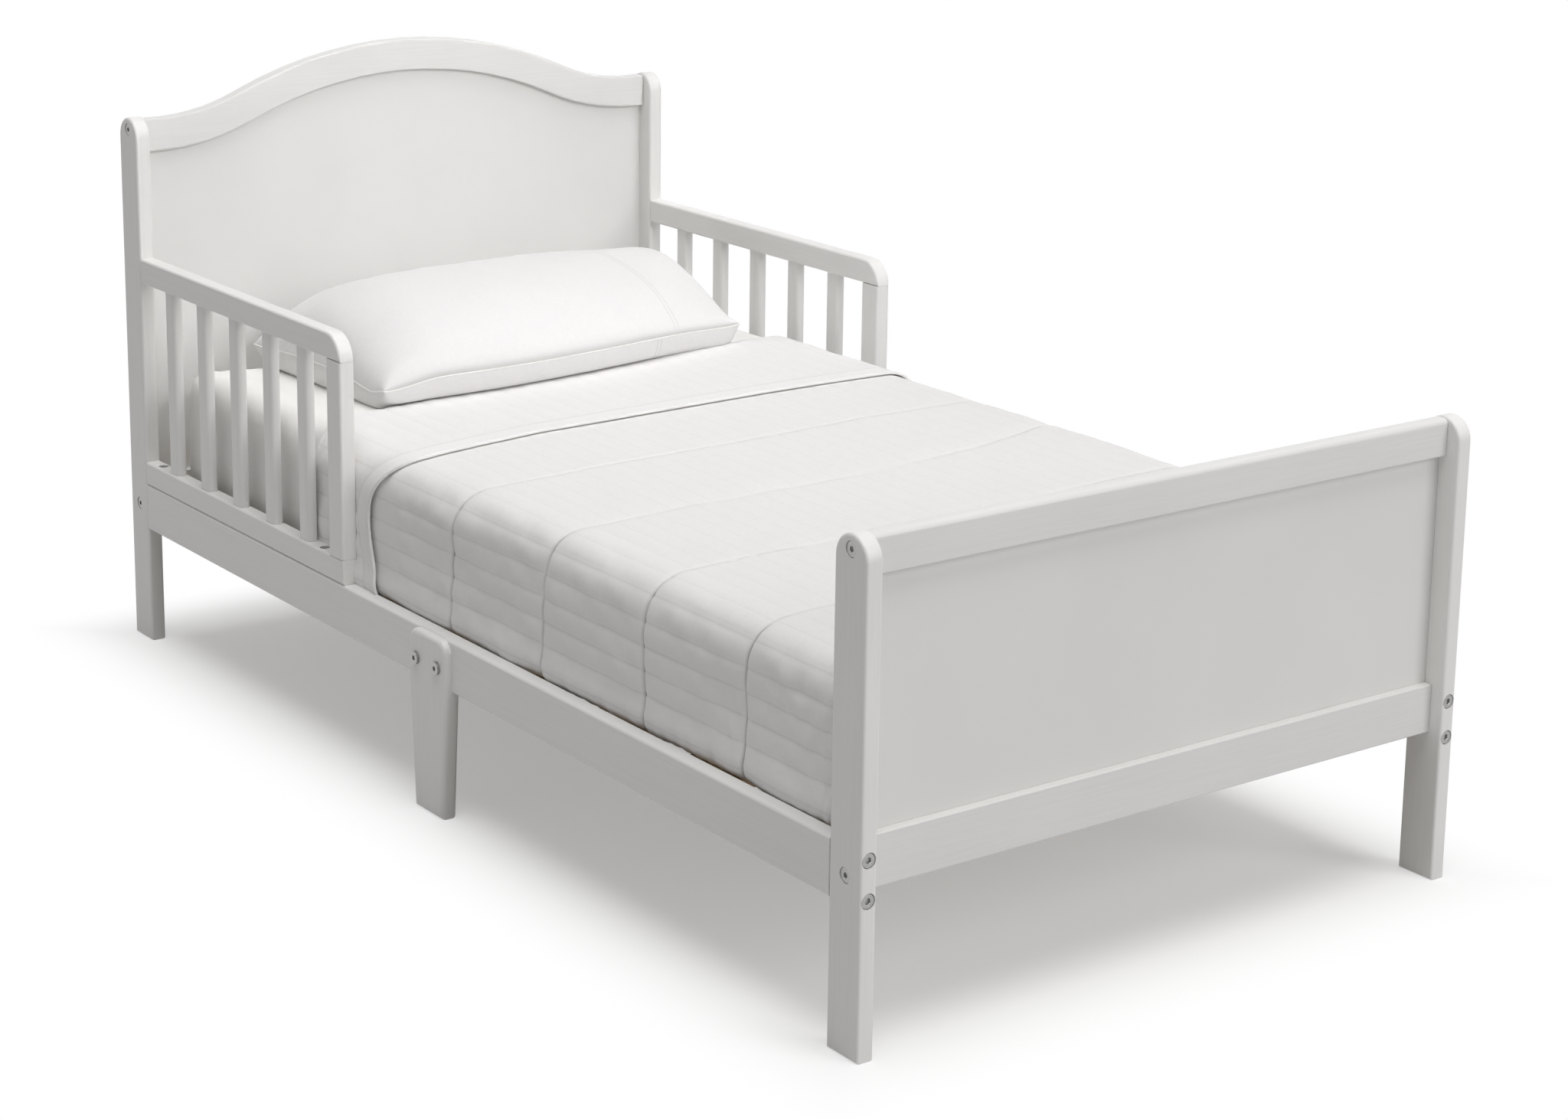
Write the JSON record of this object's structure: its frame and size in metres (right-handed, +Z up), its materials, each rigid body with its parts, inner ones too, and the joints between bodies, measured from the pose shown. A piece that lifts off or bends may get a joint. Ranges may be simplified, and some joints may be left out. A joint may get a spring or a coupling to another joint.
{
  "type": "toddler bed",
  "caption": "Low wooden toddler bed with an arched panel headboard, a low panel footboard, short slatted guard rails, middle legs, mattress, quilt and pillow.",
  "frame": {"origin": "on the floor under the middle of the bed, at the bottom centre of its bounding box", "axes": "+Y along the bed from foot to head, +Z up, +X across the bed to the right as seen from the foot; left and right in node names are as seen from the foot"},
  "size_m": [0.7574, 1.43, 0.699],
  "materials": {
    "white_lacquer": "satin white lacquer over wood and fibreboard",
    "bare_wood": "planed pine, unfinished",
    "zinc": "zinc-plated steel",
    "sheet": "plain white cotton fitted sheet",
    "quilt": "off-white washed cotton, channel quilted",
    "pillowcase": "smooth white cotton"
  },
  "bodies": {
    "frame": {"crown_rail": "white_lacquer", "head_panel": "white_lacquer", "head_lower_rail": "white_lacquer", "foot_top_rail": "white_lacquer", "foot_panel": "white_lacquer", "foot_bottom_rail": "white_lacquer", "head_post_left": "white_lacquer", "head_post_right": "white_lacquer", "foot_post_left": "white_lacquer", "foot_post_right": "white_lacquer", "side_rail_head_left": "white_lacquer", "side_rail_foot_left": "white_lacquer", "middle_leg_left": "white_lacquer", "guard_bottom_rail_left": "white_lacquer", "guard_top_rail_left": "white_lacquer", "guard_post_left": "white_lacquer", "guard_slat_left_1": "white_lacquer", "guard_slat_left_2": "white_lacquer", "guard_slat_left_3": "white_lacquer", "guard_slat_left_4": "white_lacquer", "guard_slat_left_5": "white_lacquer", "side_rail_head_right": "white_lacquer", "side_rail_foot_right": "white_lacquer", "middle_leg_right": "white_lacquer", "guard_bottom_rail_right": "white_lacquer", "guard_top_rail_right": "white_lacquer", "guard_post_right": "white_lacquer", "guard_slat_right_1": "white_lacquer", "guard_slat_right_2": "white_lacquer", "guard_slat_right_3": "white_lacquer", "guard_slat_right_4": "white_lacquer", "guard_slat_right_5": "white_lacquer", "slat_cleat_head_left": "bare_wood", "slat_cleat_head_right": "bare_wood", "slat_cleat_foot_left": "bare_wood", "slat_cleat_foot_right": "bare_wood", "base_slat_1": "bare_wood", "base_slat_2": "bare_wood", "base_slat_3": "bare_wood", "base_slat_4": "bare_wood", "base_slat_5": "bare_wood", "base_slat_6": "bare_wood", "base_slat_7": "bare_wood", "base_slat_8": "bare_wood", "base_slat_9": "bare_wood", "head_bolt_upper_left": "zinc", "head_bolt_upper_right": "zinc", "head_bolt_lower_left": "zinc", "head_bolt_lower_right": "zinc", "foot_bolt_upper_left": "zinc", "foot_bolt_upper_right": "zinc", "foot_bolt_lower_left": "zinc", "foot_bolt_lower_right": "zinc", "leg_bolt_head_left": "zinc", "leg_bolt_head_right": "zinc", "leg_bolt_foot_left": "zinc", "leg_bolt_foot_right": "zinc"},
    "bedding": {"mattress": "sheet", "quilt": "quilt"},
    "pillow": {"pillow": "pillowcase"}
  },
  "joints": [
    {"name": "mattress_lift", "type": "slide", "parent": "frame", "child": "bedding", "axis": [0, 0, 1], "range_m": [0, 0.45]},
    {"name": "pillow_lift", "type": "slide", "parent": "bedding", "child": "pillow", "axis": [0, 0, 1], "range_m": [0, 0.3]}
  ]
}
